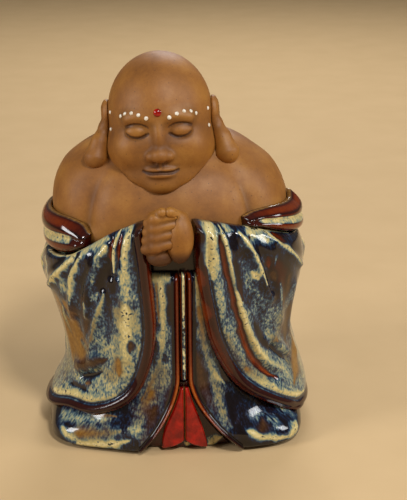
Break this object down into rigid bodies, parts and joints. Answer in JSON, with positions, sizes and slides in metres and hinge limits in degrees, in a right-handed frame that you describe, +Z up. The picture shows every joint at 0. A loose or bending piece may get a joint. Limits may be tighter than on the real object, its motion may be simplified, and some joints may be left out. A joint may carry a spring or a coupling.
{
  "type": "laughing buddha figurine",
  "caption": "Hollow stoneware figurine of a stout robed monk with clasped hands and long ear lobes, bare clay skin and a flowing glaze on the robe, stands on a flat foot ring.",
  "frame": {"origin": "on the surface it stands on, under the middle of its bounding box", "axes": "+Z up along the figure's height, the figure faces -Y, +X is the wearer's left side"},
  "size_m": [0.147, 0.1216, 0.2045],
  "materials": {
    "bare_clay": "matt unglazed brown stoneware",
    "flowing_glaze": "glossy flowing glaze, black and blue-grey with cream runs",
    "cream_glaze": "glossy speckled cream glaze",
    "rust_glaze": "glossy rust brown glaze",
    "red_glaze": "glossy deep red glaze",
    "white_slip": "smooth white slip"
  },
  "bodies": {
    "root": {"body_front_shell": "bare_clay", "body_back_shell": "bare_clay", "head_shell": "bare_clay", "forehead_dot": "red_glaze", "right_brow_pearl_1": "white_slip", "right_brow_pearl_2": "white_slip", "right_brow_pearl_3": "white_slip", "right_brow_pearl_4": "white_slip", "right_brow_pearl_5": "white_slip", "right_ear_pearl_1": "white_slip", "right_ear_pearl_2": "white_slip", "right_ear": "bare_clay", "right_hand": "bare_clay", "right_skirt_panel": "flowing_glaze", "right_sash_tail": "red_glaze", "right_sleeve": "flowing_glaze", "right_shoulder_band": "rust_glaze", "left_brow_pearl_1": "white_slip", "left_brow_pearl_2": "white_slip", "left_brow_pearl_3": "white_slip", "left_brow_pearl_4": "white_slip", "left_brow_pearl_5": "white_slip", "left_ear_pearl_1": "white_slip", "left_ear_pearl_2": "white_slip", "left_ear": "bare_clay", "left_hand": "bare_clay", "left_skirt_panel": "flowing_glaze", "left_sash_tail": "red_glaze", "left_sleeve": "flowing_glaze", "left_shoulder_band": "rust_glaze", "back_skirt_panel": "flowing_glaze", "back_drape": "flowing_glaze", "back_band": "rust_glaze", "front_placket": "cream_glaze", "under_robe": "rust_glaze"}
  },
  "joints": []
}
